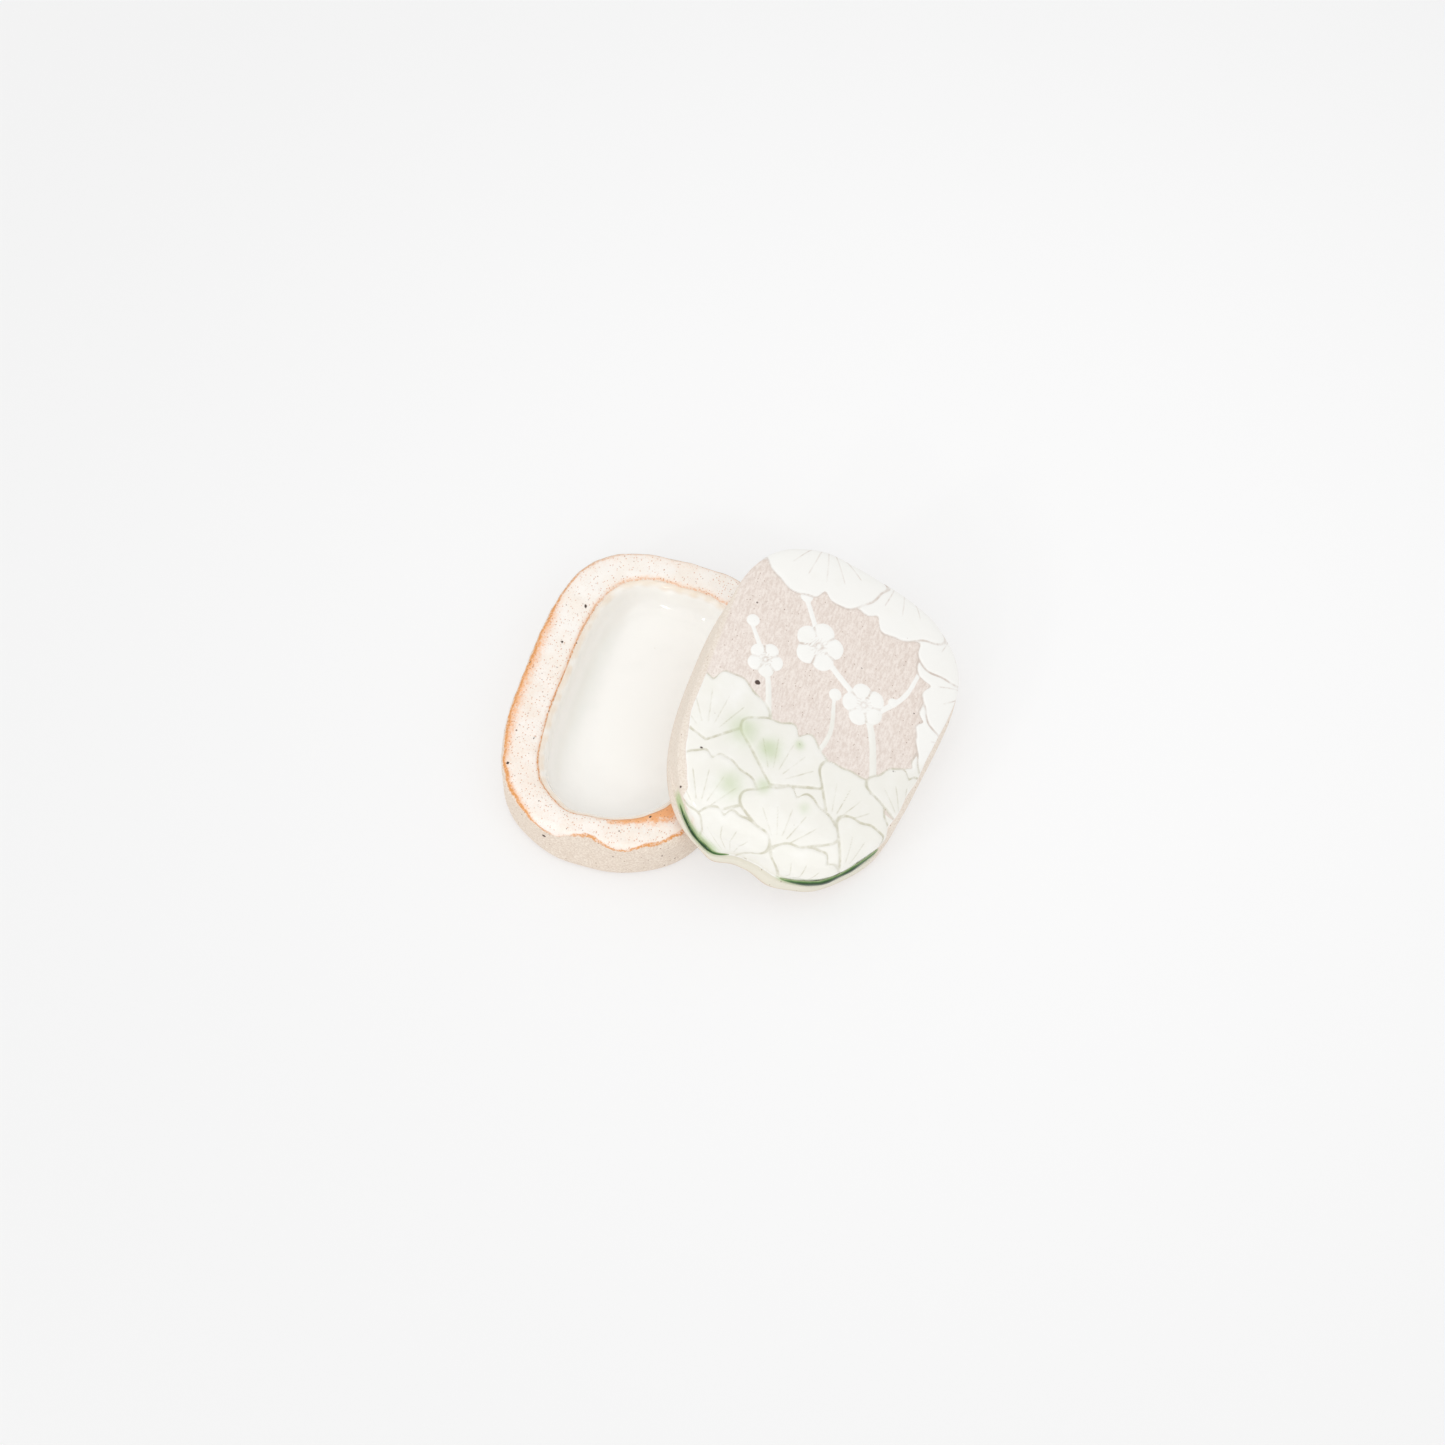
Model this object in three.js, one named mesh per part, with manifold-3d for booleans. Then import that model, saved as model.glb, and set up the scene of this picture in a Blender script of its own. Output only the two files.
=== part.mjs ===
// A small ceramic incense box, open: a stoneware base with a glazed well, and its
// pillow-shaped lid leaning with one side on the rim of the base and one on the table.
// Millimetres, +Z up. X runs across the base, Y along it, and the origin is under the
// middle of the base, on the table.
import * as THREE from "three";
import { mergeVertices } from "three/addons/utils/BufferGeometryUtils.js";
import Module from "manifold-3d";

const wasm = await Module();
wasm.setup();

// Driving dimensions. The box is shaped by hand, so its outlines have bulges: each is the
// angle of its middle and its spread, in degrees, and how far it stands out, in mm.
const BASE_PLAN = { halfX: 23.7, halfY: 33.0, power: 3.0, bulges: [[136, 24, 0.75]] };
const BASE_HEIGHT = 12.0;
const BASE_TAPER = 1.1; // the foot is this much smaller than the rim, but for its bulges
const FOOT_BULGES = [[-92, 17, 1.5], [-138, 28, 0.8]];
const WELL = { halfX: 15.8, halfY: 27.1, power: 3.4 }; // mouth of the hollow, in base and lid
const WELL_BULGES = [[-96, 11, 1.15], [-60, 24, -1.0]]; // in the base only
const WELL_DEPTH = 7.6;
const LID_FOOT = {
  halfX: 24.25,
  halfY: 33.1,
  power: 2.75,
  taper: 0.058,
  x: 0.25,
  y: 0.6,
  bulges: [[-97, 5, 0.75], [-70, 10, -0.5], [-18, 17, 1.6]],
};
const LID_SHOULDER = {
  halfX: 24.5,
  halfY: 31.8,
  power: 3.4,
  taper: 0.058,
  x: -0.05,
  y: 1.1,
  bulges: [[-38, 22, -1.25], [58, 22, -0.9], [101, 12, 0.65]],
};
const SHOULDER_HEIGHT = 10.6; // where the lid's wall turns over into its crown
const SHOULDER_DROP = 3.9; // the shoulder is this much lower at the near end
const WALL_CURVE = 1.5;
const CROWN_CURVE = 3.2;
const LID_HEIGHT = 13.6;
const LID_HOLLOW = 7.4;
const LEDGE_HEIGHT = 3.3; // top of the plain band round the near end of the lid
const LEDGE_WIDTH = 0.9;
const LEDGE_REACH = { middle: -78, full: 50, end: 72 }; // degrees
const LEDGE_CLIMB = { from: -58, over: 35, rise: 1.0 }; // degrees, degrees, mm
const LEDGE_SINK = { angle: -106, spread: 15, depth: 2.1 }; // degrees, degrees, mm
const DENT = { angle: -89, spread: 7, depth: 1.6 }; // degrees, degrees, mm
const POOLS = { lid_glaze_pool_left: [-128, -93], lid_glaze_pool_near: [-78, -20] }; // degrees
const POOL_WIDTH = 0.75;
const POOL_HEIGHT = 1.2;
const POOL_BULGE = 0.16;
const POOL_STEPS = 22;
const GLAZE_THICK = 0.5;
const COAT_GAP = 0.05; // between a coat and the clay that it is fused to
const LID_CENTRE = { x: 31.4, y: 2.7 }; // where the middle of the lid's foot lies, from above
const LID_TURN = -3.6; // degrees, against the base
const LID_ROLL = 2.0; // degrees, its far end higher
const CONTACT_GAP = 0.3;
const TABLE_GAP = 0.02;
const SEGMENTS = 84;

const radians = THREE.MathUtils.degToRad;
const smooth = THREE.MathUtils.smoothstep;
const mix = THREE.MathUtils.lerp;

// How far an angle is from another, from -pi to pi.
const away = (angle, from) => Math.atan2(Math.sin(angle - from), Math.cos(angle - from));

// A bell curve of height 1 round an angle in degrees.
const bell = (angle, middle, spread) =>
  Math.exp(-((away(angle, radians(middle)) / radians(spread)) ** 2));

// A point of a closed outline: a superellipse that may be off centre and wider at one end,
// moved out from the middle by its bulges.
function outlinePoint(shape, angle, inset = 0) {
  const c = Math.cos(angle);
  const s = Math.sin(angle);
  const power = 2 / shape.power;
  const along = Math.sign(s) * Math.abs(s) ** power;
  const across = Math.sign(c) * Math.abs(c) ** power * (1 + (shape.taper ?? 0) * along);
  const x = (shape.x ?? 0) + across * (shape.halfX - inset);
  const y = (shape.y ?? 0) + along * (shape.halfY - inset);
  const bulges = shape.bulges ?? [];
  const out = bulges.reduce((sum, [at, spread, far]) => sum + far * bell(angle, at, spread), 0);
  const share = 1 + out / Math.hypot(x, y);
  return [x * share, y * share];
}

// The shape with more bulges, each times a share.
function bulged(shape, bulges, share = 1) {
  const more = bulges.map(([at, spread, far]) => [at, spread, far * share]);
  return { ...shape, bulges: [...(shape.bulges ?? []), ...more] };
}

// A row of the outline at one height, drawn in by inset.
const row = (shape, inset, z) => (angle) => [...outlinePoint(shape, angle, inset), z];

function closedMesh(positions, index) {
  const geometry = new THREE.BufferGeometry();
  geometry.setAttribute("position", new THREE.Float32BufferAttribute(positions, 3));
  geometry.setIndex(index);
  geometry.computeVertexNormals();
  return geometry;
}

// A closed skin over rings of points, with a point in the middle of each end ring.
function skin(rings) {
  const count = rings[0].length;
  const middle = (ring) => [0, 1, 2].map((k) => ring.reduce((sum, p) => sum + p[k], 0) / count);
  const points = [middle(rings[0]), ...rings.flat(), middle(rings[rings.length - 1])];
  const last = points.length - 1;
  const at = (ring, i) => 1 + ring * count + (i % count);
  const index = [];
  for (let i = 0; i < count; i++) {
    index.push(0, at(0, i + 1), at(0, i));
    index.push(last, at(rings.length - 1, i), at(rings.length - 1, i + 1));
    for (let ring = 0; ring + 1 < rings.length; ring++) {
      index.push(at(ring, i), at(ring, i + 1), at(ring + 1, i + 1));
      index.push(at(ring, i), at(ring + 1, i + 1), at(ring + 1, i));
    }
  }
  return closedMesh(points.flat(), index);
}

// A skin through rows that each give a point for an angle.
function loft(rows) {
  const angles = Array.from({ length: SEGMENTS }, (_, i) => (2 * Math.PI * i) / SEGMENTS);
  return skin(rows.map((point) => angles.map(point)));
}

// The hollow's wall and floor, from its middle out to just under its mouth at z = 0, open
// upwards. extra moves them into the clay.
function hollowRows(mouth, depth, extra) {
  const floor = -depth - extra;
  const half = { halfX: mouth.halfX / 2, halfY: mouth.halfY / 2, power: 2.6 };
  return [
    [half, 3.5, floor],
    [mouth, 7.0 - extra, floor + 0.1],
    [mouth, 4.6 - extra, floor + 0.6],
    [mouth, 2.9 - extra, floor + 1.7],
    [mouth, 1.7 - extra, floor + 3.3],
    [mouth, 0.9 - extra, -1.4],
  ];
}

const BASE_WELL = bulged(WELL, WELL_BULGES);

const raised = (rows, z) => rows.map(([shape, inset, height]) => row(shape, inset, height + z));
const flipped = (rows) => rows.map(([shape, inset, height]) => row(shape, inset, -height));

function baseGeometry() {
  const half = { halfX: BASE_PLAN.halfX / 2, halfY: BASE_PLAN.halfY / 2, power: 2.5 };
  const foot = bulged(BASE_PLAN, FOOT_BULGES);
  const top = BASE_HEIGHT;
  return loft([
    row(half, 0, 0),
    row(foot, BASE_TAPER + 1.3, 0),
    row(foot, BASE_TAPER + 0.4, 0.3),
    row(foot, BASE_TAPER, 1.1),
    row(bulged(BASE_PLAN, FOOT_BULGES, 0.5), 0.35, top * 0.5),
    row(BASE_PLAN, 0.0, top - 1.6),
    row(BASE_PLAN, 0.25, top - 0.7),
    row(BASE_PLAN, 0.9, top - 0.15),
    row(BASE_PLAN, 1.9, top),
    row(BASE_WELL, -1.2, top),
    row(BASE_WELL, -0.4, top - 0.2),
    row(BASE_WELL, 0.15, top - 0.8),
    ...raised(hollowRows(BASE_WELL, WELL_DEPTH, GLAZE_THICK), top).reverse(),
  ]);
}

function wellGlazeGeometry() {
  const under = hollowRows(BASE_WELL, WELL_DEPTH, GLAZE_THICK - COAT_GAP);
  const over = hollowRows(BASE_WELL, WELL_DEPTH, 0).reverse();
  return loft(raised([...under, ...over], BASE_HEIGHT));
}

function lidHollowGlazeGeometry() {
  const over = hollowRows(WELL, LID_HOLLOW, 0);
  const under = hollowRows(WELL, LID_HOLLOW, GLAZE_THICK - COAT_GAP).reverse();
  return loft(flipped([...over, ...under]));
}

// The outline has one shallow dent at the near end, where the relief runs over the band.
const dent = (angle) => DENT.depth * bell(angle, DENT.angle, DENT.spread);

const shoulderHeight = (angle) =>
  SHOULDER_HEIGHT - SHOULDER_DROP * Math.max(0, -Math.sin(angle)) ** 3;

// The ledge lies round the near end only. It climbs towards the right and sinks on the left.
function ledge(angle) {
  const climb = away(angle, radians(LEDGE_CLIMB.from)) / radians(LEDGE_CLIMB.over);
  const reach = Math.abs(away(angle, radians(LEDGE_REACH.middle)));
  const rise = LEDGE_CLIMB.rise * smooth(climb, 0, 1) * (1 - smooth(climb, 1, 2.5));
  const sink = LEDGE_SINK.depth * bell(angle, LEDGE_SINK.angle, LEDGE_SINK.spread);
  return {
    width: LEDGE_WIDTH * (1 - smooth(reach, radians(LEDGE_REACH.full), radians(LEDGE_REACH.end))),
    height: LEDGE_HEIGHT + rise - sink,
  };
}

// A point of the lid's wall at a height, from the foot up to the shoulder.
function wallPoint(angle, height, inset) {
  const climb = height / shoulderHeight(angle);
  const foot = outlinePoint(LID_FOOT, angle);
  const shoulder = outlinePoint(LID_SHOULDER, angle);
  const x = mix(foot[0], shoulder[0], climb ** WALL_CURVE);
  const y = mix(foot[1], shoulder[1], climb ** WALL_CURVE);
  const share = 1 - (inset + dent(angle) * (1 - 0.4 * climb)) / Math.hypot(x, y);
  return [x * share, y * share, height];
}

// Above the ledge the wall stands back by the ledge's width, less and less up to the shoulder.
function upperWallPoint(angle, share, out = 0) {
  const { width, height } = ledge(angle);
  return wallPoint(angle, mix(height + 0.2, shoulderHeight(angle), share), width * (1 - share) - out);
}

// A point of the crown: share runs from 1 at the shoulder to 0 at the top.
function crownPoint(angle, share) {
  const [x, y, z] = upperWallPoint(angle, 1);
  return [
    mix(LID_SHOULDER.x, x, share),
    mix(LID_SHOULDER.y, y, share),
    mix(z, LID_HEIGHT, Math.sqrt(1 - share ** CROWN_CURVE)),
  ];
}

function lidGeometry() {
  const wallShares = [0, 0.3, 0.6, 0.82];
  const crownShares = [1, 0.985, 0.955, 0.91, 0.85, 0.77, 0.67, 0.54, 0.38, 0.2];
  return loft([
    ...flipped(hollowRows(WELL, LID_HOLLOW, GLAZE_THICK)),
    row(WELL, 0.15, 0.8),
    row(WELL, -0.4, 0.15),
    row(WELL, -1.2, 0),
    (angle) => wallPoint(angle, 0, 0.9),
    (angle) => wallPoint(angle, 0.3, 0.25),
    (angle) => wallPoint(angle, 0.9, 0),
    (angle) => wallPoint(angle, ledge(angle).height, 0.1 * Math.min(1, ledge(angle).width)),
    ...wallShares.map((share) => (angle) => upperWallPoint(angle, share)),
    ...crownShares.map((share) => (angle) => crownPoint(angle, share)),
  ]);
}

// A pool of glaze that has run down to the ledge and set in its corner. It tapers to both ends.
function poolGeometry([from, to]) {
  const sections = [];
  for (let step = 1; step < POOL_STEPS; step++) {
    const angle = radians(mix(from, to, step / POOL_STEPS));
    const size = Math.sqrt(Math.sin((Math.PI * step) / POOL_STEPS));
    const corner = new THREE.Vector3(...upperWallPoint(angle, 0, COAT_GAP));
    const outwards = new THREE.Vector3(corner.x, corner.y, 0).normalize();
    corner.z += COAT_GAP;
    const wallHeight = shoulderHeight(angle) - corner.z;
    const upper = upperWallPoint(angle, (POOL_HEIGHT * size) / wallHeight, COAT_GAP);
    const top = new THREE.Vector3(...upper);
    const edge = corner.clone().addScaledVector(outwards, POOL_WIDTH * size);
    const swell = outwards.clone().setZ(0.7).normalize().multiplyScalar(POOL_BULGE * size);
    const face = [1 / 3, 2 / 3].map((share) => top.clone().lerp(edge, share).add(swell));
    sections.push([top, ...face, edge, corner].map((p) => p.toArray()));
  }
  return skin(sections);
}

const clay = new THREE.MeshStandardMaterial({ color: 0xd8cabb, roughness: 0.85, metalness: 0 });
const glaze = new THREE.MeshStandardMaterial({ color: 0xf1f0ea, roughness: 0.12, metalness: 0 });
const green = new THREE.MeshStandardMaterial({ color: 0x2f5a34, roughness: 0.08, metalness: 0 });

function piece(name, geometry, material) {
  const mesh = new THREE.Mesh(geometry, material);
  mesh.name = name;
  return mesh;
}

function solidOf(geometry) {
  const bare = new THREE.BufferGeometry();
  bare.setAttribute("position", geometry.getAttribute("position").clone());
  bare.setIndex(geometry.getIndex());
  const merged = mergeVertices(bare, 1e-4);
  return new wasm.Manifold(
    new wasm.Mesh({
      numProp: 3,
      vertProperties: merged.attributes.position.array,
      triVerts: new Uint32Array(merged.index.array),
    }),
  );
}

// The pose in which the lid's lowest point is on the table at a given tilt.
function lidPose(geometry, tilt) {
  const pose = new THREE.Object3D();
  pose.rotation.set(radians(LID_ROLL), tilt, radians(LID_TURN), "ZYX");
  pose.position.set(LID_CENTRE.x, LID_CENTRE.y, 0);
  pose.updateMatrix();
  const placed = geometry.clone().applyMatrix4(pose.matrix);
  placed.computeBoundingBox();
  pose.position.z = TABLE_GAP - placed.boundingBox.min.z;
  pose.updateMatrix();
  return pose;
}

// The lid leans: it is tilted just far enough to rest on the rim of the base.
function leaningPose(lidShape, baseShape) {
  const rim = solidOf(baseShape).translate([0, 0, CONTACT_GAP]);
  let low = radians(8);
  let high = radians(35);
  for (let step = 0; step < 14; step++) {
    const middle = (low + high) / 2;
    const pose = lidPose(lidShape, middle);
    const placed = solidOf(lidShape.clone().applyMatrix4(pose.matrix));
    if (placed.intersect(rim).volume() > 0) low = middle;
    else high = middle;
  }
  return lidPose(lidShape, high);
}

const baseShape = baseGeometry();
const lidShape = lidGeometry();
const leaning = leaningPose(lidShape, baseShape);

const base = new THREE.Group();
base.add(piece("base_body", baseShape, clay));
base.add(piece("base_well_glaze", wellGlazeGeometry(), glaze));

const lid = new THREE.Group();
lid.rotation.copy(leaning.rotation);
lid.position.copy(leaning.position);
lid.add(piece("lid_body", lidShape, clay));
lid.add(piece("lid_hollow_glaze", lidHollowGlazeGeometry(), glaze));
for (const [name, ends] of Object.entries(POOLS)) lid.add(piece(name, poolGeometry(ends), green));

const box = new THREE.Group();
box.add(base, lid);
export default box;
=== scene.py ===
"""A small lidded stoneware box, open, with its relief lid leaning on the rim of the base."""

import math

import bpy
import numpy as np
from bpy.props import FloatProperty, FloatVectorProperty, PointerProperty
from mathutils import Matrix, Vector


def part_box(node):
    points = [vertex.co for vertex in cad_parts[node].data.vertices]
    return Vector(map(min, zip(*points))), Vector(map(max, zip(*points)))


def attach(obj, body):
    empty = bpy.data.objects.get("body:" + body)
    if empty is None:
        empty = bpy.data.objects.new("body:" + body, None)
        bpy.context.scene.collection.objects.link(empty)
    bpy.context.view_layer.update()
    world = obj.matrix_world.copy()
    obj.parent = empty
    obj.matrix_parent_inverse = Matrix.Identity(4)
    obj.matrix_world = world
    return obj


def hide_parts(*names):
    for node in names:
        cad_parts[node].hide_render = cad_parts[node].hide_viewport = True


bl_info = {
    "name": "Ceramic Box",
    "version": (1, 0, 0),
    "blender": (4, 5, 0),
    "location": "3D View > Sidebar > Ceramic Box",
    "description": "Clay, slip and glazes of a small lidded stoneware box",
    "category": "Object",
}

MM = 0.001
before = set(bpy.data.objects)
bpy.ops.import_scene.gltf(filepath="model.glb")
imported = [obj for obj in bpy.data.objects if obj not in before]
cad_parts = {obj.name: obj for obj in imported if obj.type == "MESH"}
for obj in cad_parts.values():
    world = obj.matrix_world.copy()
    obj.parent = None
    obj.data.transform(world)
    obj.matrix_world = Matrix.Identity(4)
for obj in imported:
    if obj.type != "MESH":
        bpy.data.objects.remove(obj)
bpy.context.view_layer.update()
BASE_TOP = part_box("base_body")[1][2] / MM

# Driving dimensions, in millimetres and degrees. A bulge of an outline is the angle of its
# middle, its spread and how far it stands out.
RIM_BULGES = ((136, 24, 0.75),)
FOOT_BULGES = ((-92, 17, 1.5), (-138, 28, 0.8))
WELL_BULGES = ((-96, 11, 1.15), (-60, 24, -1.0))
LID_FOOT_BULGES = ((-97, 5, 0.75), (-70, 10, -0.5), (-18, 17, 1.6))
SHOULDER_BULGES = ((-38, 22, -1.25), (58, 22, -0.9), (101, 12, 0.65))
BASE_HALF_X = 23.7
BASE_HALF_Y = 33.0
BASE_POWER = 3.0
BASE_TAPER = 1.1
WELL_HALF_X = 15.8
WELL_HALF_Y = 27.1
WELL_POWER = 3.4
GLAZE_THICK = 0.5
COAT_GAP = 0.05
COAT_THICK = GLAZE_THICK - COAT_GAP
SHOULDER_HEIGHT = 10.6
SHOULDER_DROP = 3.9
WALL_CURVE = 1.5
CROWN_CURVE = 3.2
LEDGE_HEIGHT = 3.3
LEDGE_WIDTH = 0.9
LEDGE_STEP = 0.2
LEDGE_REACH = (-78, 50, 72)
LEDGE_CLIMB = (-58, 35, 1.0)
LEDGE_SINK = (-106, 15, 2.1)
DENT = (-89, 7, 1.6)
# A pool's two ends, and how far it reaches over the ledge and up the wall and bulges.
POOLS = {
    "lid_glaze_pool_left": (-128, -93, 0.4, 0.8, 0.2),
    "lid_glaze_pool_near": (-78, -20, 0.7, 2.2, 0.45),
}

# The lid's surface is addressed by a share of the way from the crown's middle to the foot.
SHOULDER_SHARE = 0.80
LEDGE_SHARE = 0.93
BAND_SHARE = 0.96
CROWN_EASE = 1.4
FOOT_ROUND = 0.9

BASE_COLUMNS = 480
LINING_COLUMNS = 320
LID_CELLS_X = 250
LID_CELLS_Y = 290

VIEW_TURN = math.radians(17.8)
VIEW_RISE = math.radians(60)
VIEW_DISTANCE = 1.016
VIEW_TARGET = Vector((0.0152, 0.00615, 0))
FIELD = math.radians(16)
LAMP_DISTANCE = 1.6
BRIGHTEST = (0.06, 0.05, 0)  # the place where the floor glows most


def tone(red, green, blue):
    """A colour of a screen, 0 to 255, as the linear colour that Blender's sockets hold."""
    shares = np.array([red, green, blue]) / 255
    linear = np.where(shares < 0.04045, shares / 12.92, ((shares + 0.055) / 1.055) ** 2.4)
    return tuple(float(share) for share in linear)


def smooth(low, high, value):
    """0 below low, 1 above high, and a smooth cubic step between them."""
    share = np.clip((value - low) / (high - low), 0, 1)
    return share * share * (3 - 2 * share)


def mix(a, b, share):
    """a where share is 0, b where it is 1, and a straight line between."""
    return a + (b - a) * share


def signed_power(value, power):
    """The size of value raised to a power, with value's sign kept."""
    return np.sign(value) * np.abs(value) ** power


def away(angle, middle):
    """How far an angle is from another, from minus pi to pi."""
    return np.arctan2(np.sin(angle - middle), np.cos(angle - middle))


def window(angle, low, high, soft):
    """1 between two angles in degrees, falling to 0 over soft degrees outside them."""
    half = math.radians(high - low) / 2
    beyond = np.abs(away(angle, math.radians(low + high) / 2)) - half
    return 1 - smooth(0, math.radians(soft), beyond)


def wavy(points, size, seed):
    """Smooth unevenness from about -1 to 1: a sum of sine waves in seeded directions over points."""
    draw = np.random.default_rng(seed)
    directions = draw.normal(size=(3, 9))
    phases = draw.uniform(0, 2 * math.pi, size=9)
    waves = np.sin(points @ directions * (2.4 / size) + phases)
    return waves.sum(axis=-1) / 3


def bell(angle, middle, spread):
    """A bell curve of height 1 round an angle in degrees."""
    return np.exp(-((away(angle, math.radians(middle)) / math.radians(spread)) ** 2))


class Outline:
    """A rounded rectangle in plan: a superellipse whose width grows towards the far end."""

    def __init__(self, half_x, half_y, power, taper=0.0, x=0.0, y=0.0, bulges=()):
        self.half_x = half_x
        self.half_y = half_y
        self.power = power
        self.taper = taper
        self.x = x
        self.y = y
        self.bulges = bulges

    def plan(self, angle, inset=0.0):
        """x, y = half sizes less inset, times the cosine and sine of angle to the power 2 / n.

        The point is then moved out from the middle by the bulges, which are bell curves.
        """
        along = signed_power(np.sin(angle), 2 / self.power)
        across = signed_power(np.cos(angle), 2 / self.power) * (1 + self.taper * along)
        x = self.x + across * (self.half_x - inset)
        y = self.y + along * (self.half_y - inset)
        out = sum(far * bell(angle, middle, spread) for middle, spread, far in self.bulges)
        return np.stack([x, y], axis=-1) * (1 + out / np.hypot(x, y))[..., None]

    def row(self, angle, inset, z):
        """The outline, drawn in by inset, at height z."""
        plan = self.plan(angle, inset)
        return np.concatenate([plan, np.full(plan.shape[:-1] + (1,), float(z))], axis=-1)

    def half(self, power):
        """An outline of half the size, for the middle of a floor."""
        return Outline(self.half_x / 2, self.half_y / 2, power)

    def bulged(self, bulges, share=1.0):
        """The same outline with more bulges, each times a share."""
        more = tuple((middle, spread, far * share) for middle, spread, far in bulges)
        sizes = (self.half_x, self.half_y, self.power, self.taper, self.x, self.y)
        return Outline(*sizes, self.bulges + more)


BASE = Outline(BASE_HALF_X, BASE_HALF_Y, BASE_POWER).bulged(RIM_BULGES)
WELL = Outline(WELL_HALF_X, WELL_HALF_Y, WELL_POWER)
BASE_WELL = WELL.bulged(WELL_BULGES)
FOOT = Outline(24.25, 33.1, 2.75, 0.058, 0.25, 0.6).bulged(LID_FOOT_BULGES)
SHOULDER = Outline(24.5, 31.8, 3.4, 0.058, -0.05, 1.1).bulged(SHOULDER_BULGES)


def even_angles(count, power):
    """Outline parameters of points that are evenly spread in direction round the middle."""
    turn = np.arange(count) * (2 * math.pi / count)
    sine = signed_power(np.sin(turn), power / 2)
    cosine = signed_power(np.cos(turn), power / 2)
    return np.arctan2(sine, cosine)


def hollow_rows(mouth, angle, depth, into_clay):
    """Rows of a hollow from the middle of its floor to just under its mouth at height 0."""
    floor = -depth - into_clay
    return [
        mouth.half(2.6).row(angle, 3.5, floor),
        mouth.row(angle, 7.0 - into_clay, floor + 0.1),
        mouth.row(angle, 4.6 - into_clay, floor + 0.6),
        mouth.row(angle, 2.9 - into_clay, floor + 1.7),
        mouth.row(angle, 1.7 - into_clay, floor + 3.3),
        mouth.row(angle, 0.9 - into_clay, -1.4),
    ]


def raised(rows, height):
    """The rows moved up by height."""
    return [row + np.array([0, 0, height]) for row in rows]


def flipped(rows):
    """The rows mirrored in the plane of the mouth."""
    return [row * np.array([1, 1, -1]) for row in rows]


def curve_through(rows, spacing, most=14):
    """Rows of points resampled along a smooth curve through them.

    Between two rows each column follows a cubic Hermite curve, whose tangents come from the
    neighbouring rows with knots at the square roots of the mean distances. Returns the new
    rows and where each of the old ones is among them.
    """
    rows = np.stack(rows)
    chords = np.linalg.norm(np.diff(rows, axis=0), axis=-1).mean(axis=1)
    knots = np.concatenate([[0], np.cumsum(np.sqrt(chords))])
    gaps = np.diff(knots)[:, None, None]
    slopes = np.diff(rows, axis=0) / gaps
    inner = (slopes[:-1] * gaps[1:] + slopes[1:] * gaps[:-1]) / (gaps[1:] + gaps[:-1])
    tangents = np.concatenate([slopes[:1], inner, slopes[-1:]])
    made = [rows[:1]]
    marks = [0]
    for i, chord in enumerate(chords):
        count = int(np.clip(round(chord / spacing), 1, most))
        t = (np.arange(1, count + 1) / count)[:, None, None]
        made.append(
            (2 * t**3 - 3 * t**2 + 1) * rows[i]
            + (t**3 - 2 * t**2 + t) * gaps[i] * tangents[i]
            + (3 * t**2 - 2 * t**3) * rows[i + 1]
            + (t**3 - t**2) * gaps[i] * tangents[i + 1]
        )
        marks.append(marks[-1] + count)
    return np.concatenate(made), marks


def arc_lengths(rows):
    """How far each point is along its column from the first row."""
    steps = np.linalg.norm(np.diff(rows, axis=0), axis=-1)
    return np.concatenate([np.zeros((1, rows.shape[1])), np.cumsum(steps, axis=0)])


def skin_faces(rings, count, first=0):
    """Quads of a skin over rings of count points each, numbered on from first."""
    ring = np.arange(rings - 1)[:, None] * count + first
    here = np.arange(count)[None, :]
    there = (here + 1) % count
    quads = np.stack([ring + here, ring + there, ring + count + there, ring + count + here], axis=-1)
    return quads.reshape(-1, 4)


def fan_faces(ring, pole, inward):
    """Triangles from a ring of point numbers to a pole, turned over where inward is true."""
    there = np.roll(ring, -1)
    ends = (ring, there) if inward else (there, ring)
    return np.stack([*ends, np.full(len(ring), pole)], axis=-1)


def new_piece(name, points, quads, triangles, body, slot, *nodes):
    """A piece in the row frame from points in millimetres, which stands for CAD nodes."""
    mesh = bpy.data.meshes.new(name)
    mesh.vertices.add(len(points))
    mesh.vertices.foreach_set("co", np.ravel(points * MM).astype(np.float32))
    corners = np.concatenate([quads.ravel(), triangles.ravel()]).astype(np.int32)
    mesh.loops.add(len(corners))
    mesh.loops.foreach_set("vertex_index", corners)
    sizes = np.concatenate([np.full(len(quads), 4), np.full(len(triangles), 3)])
    starts = np.concatenate([[0], np.cumsum(sizes)[:-1]]).astype(np.int32)
    mesh.polygons.add(len(sizes))
    mesh.polygons.foreach_set("loop_start", starts)
    mesh.polygons.foreach_set("use_smooth", np.ones(len(sizes), dtype=bool))
    mesh.update(calc_edges=True)
    if mesh.validate():
        raise RuntimeError(name + " had bad faces")
    piece = bpy.data.objects.new(name, mesh)
    bpy.context.scene.collection.objects.link(piece)
    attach(piece, body)
    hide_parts(*nodes)
    return piece


def loft_piece(name, rows, body, slot, node):
    """A closed piece whose skin runs over the rows, with a pole in the middle of each end."""
    rings, count = rows.shape[:2]
    points = np.concatenate([rows.reshape(-1, 3), rows[:1].mean(axis=1), rows[-1:].mean(axis=1)])
    last = (rings - 1) * count
    triangles = np.concatenate(
        [
            fan_faces(np.arange(count), len(points) - 2, False),
            fan_faces(np.arange(last, last + count), len(points) - 1, True),
        ]
    )
    return new_piece(name, points, skin_faces(rings, count), triangles, body, slot, node)


def with_poles(values):
    """A field over rows as one flat list, with the end rows' means for the two poles."""
    return np.concatenate([values.ravel(), [values[0].mean(), values[-1].mean()]])


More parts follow.
